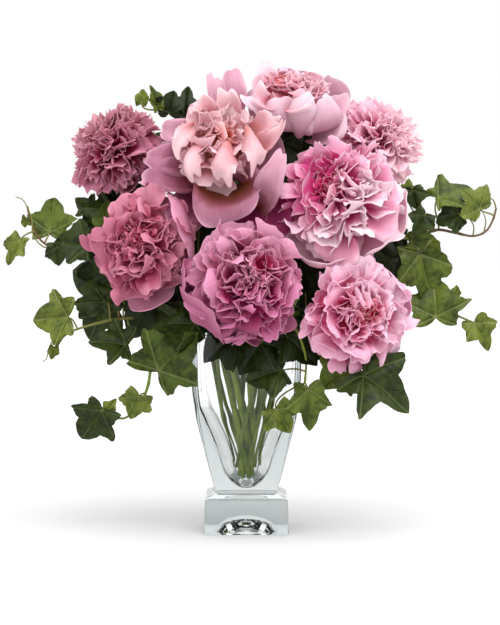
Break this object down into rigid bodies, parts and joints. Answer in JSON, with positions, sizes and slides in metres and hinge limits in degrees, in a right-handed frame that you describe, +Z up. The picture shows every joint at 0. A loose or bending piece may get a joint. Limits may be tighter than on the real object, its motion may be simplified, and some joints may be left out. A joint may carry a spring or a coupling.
{
  "type": "peonies in a vase",
  "caption": "Bouquet of full pink peonies with trailing ivy, stems crossing in a tall square clear glass vase that narrows to a neck above a thick square foot",
  "frame": {"origin": "Centre of the underside of the vase's foot, on the surface it stands on", "axes": "+Z up; -Y towards the front, from which the bouquet is seen; +X to the right of that view"},
  "size_m": [0.4948, 0.2479, 0.4687],
  "materials": {
    "clear_glass": "polished",
    "petals_pale": "satin",
    "petals_pink": "satin",
    "petals_rose": "satin",
    "petals_deep": "satin",
    "leaf_dark": "satin",
    "leaf_light": "satin",
    "stem_green": "satin",
    "ivy_stem": "satin"
  },
  "bodies": {
    "root": {"glass_vase": "clear_glass", "ivy_leaf_back_lower": "leaf_dark", "ivy_leaf_back_upper": "leaf_dark", "ivy_leaf_left_big": "leaf_dark", "ivy_leaf_left_far": "leaf_light", "ivy_leaf_left_front": "leaf_dark", "ivy_leaf_left_inner": "leaf_dark", "ivy_leaf_left_light": "leaf_light", "ivy_leaf_left_low": "leaf_dark", "ivy_leaf_left_peak": "leaf_dark", "ivy_leaf_left_star": "leaf_light", "ivy_leaf_left_vein": "leaf_dark", "ivy_leaf_low_hang": "leaf_dark", "ivy_leaf_low_star": "leaf_dark", "ivy_leaf_right_big": "leaf_dark", "ivy_leaf_right_dark": "leaf_dark", "ivy_leaf_right_far": "leaf_light", "ivy_leaf_right_heart": "leaf_dark", "ivy_leaf_right_inner": "leaf_dark", "ivy_leaf_right_peak": "leaf_dark", "ivy_leaf_right_star": "leaf_light", "ivy_leaf_top_dark": "leaf_dark", "ivy_stem_back": "ivy_stem", "ivy_stem_back_right": "ivy_stem", "ivy_stem_front": "ivy_stem", "ivy_stem_left_lower": "ivy_stem", "ivy_stem_left_middle": "ivy_stem", "ivy_stem_left_upper": "ivy_stem", "ivy_stem_right_lower": "ivy_stem", "ivy_stem_right_middle": "ivy_stem", "ivy_stem_right_upper": "ivy_stem", "peony_back_top_bloom": "petals_pale", "peony_back_top_petal_1": "petals_pale", "peony_back_top_petal_2": "petals_pale", "peony_back_top_petal_3": "petals_pale", "peony_back_top_stem": "stem_green", "peony_centre_low_bloom": "petals_deep", "peony_centre_low_petal_1": "petals_deep", "peony_centre_low_stem": "stem_green", "peony_left_middle_bloom": "petals_rose", "peony_left_middle_petal_1": "petals_rose", "peony_left_middle_stem": "stem_green", "peony_left_top_bloom": "petals_rose", "peony_left_top_stem": "stem_green", "peony_middle_top_bloom": "petals_pale", "peony_middle_top_petal_1": "petals_pale", "peony_middle_top_petal_2": "petals_pale", "peony_middle_top_petal_3": "petals_pale", "peony_middle_top_petal_4": "petals_pale", "peony_middle_top_petal_5": "petals_pale", "peony_middle_top_petal_6": "petals_pale", "peony_middle_top_stem": "stem_green", "peony_right_low_bloom": "petals_pink", "peony_right_low_petal_1": "petals_pink", "peony_right_low_stem": "stem_green", "peony_right_middle_bloom": "petals_pink", "peony_right_middle_petal_1": "petals_pink", "peony_right_middle_stem": "stem_green", "peony_right_top_bloom": "petals_pink", "peony_right_top_stem": "stem_green"}
  },
  "joints": []
}
